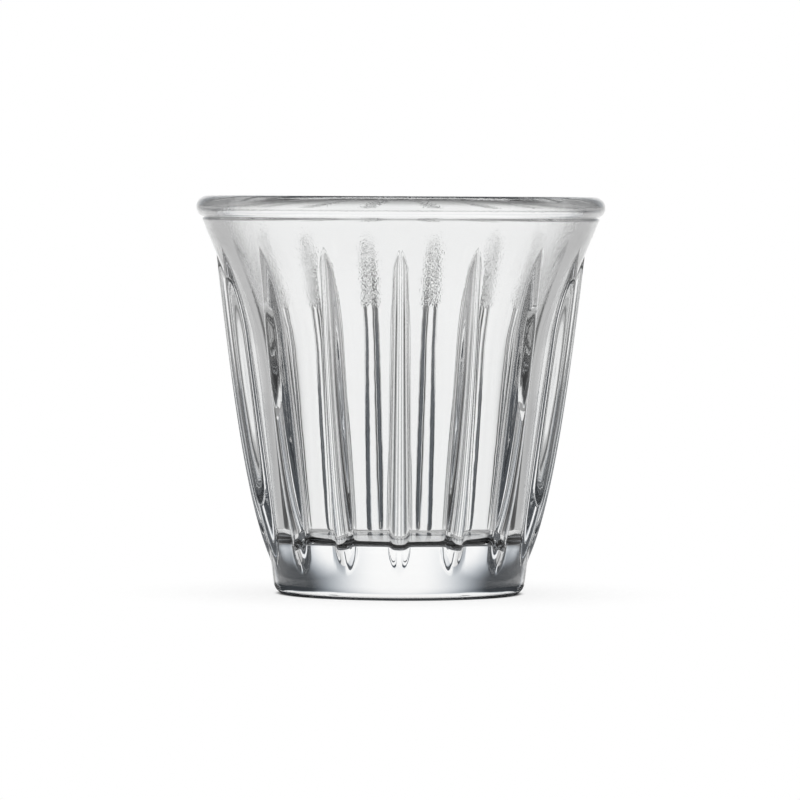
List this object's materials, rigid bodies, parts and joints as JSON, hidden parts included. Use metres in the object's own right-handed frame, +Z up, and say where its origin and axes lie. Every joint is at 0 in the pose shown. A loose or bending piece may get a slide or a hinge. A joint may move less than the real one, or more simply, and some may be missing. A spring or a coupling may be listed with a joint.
{
  "type": "espresso cup",
  "caption": "Handleless espresso cup of clear pressed glass with a flared bowl, rolled rim, upright round-nosed ribs outside and a thick solid foot.",
  "frame": {"origin": "centre of the foot, on the table plane that the bearing ring stands on", "axes": "+Z up along the axis of revolution, towards the rim; one rib faces -Y"},
  "size_m": [0.07, 0.07, 0.068],
  "materials": {
    "clear_glass": "clear, fire-polished pressed soda-lime glass"
  },
  "bodies": {
    "root": {"glass_body": "clear_glass"}
  },
  "joints": []
}
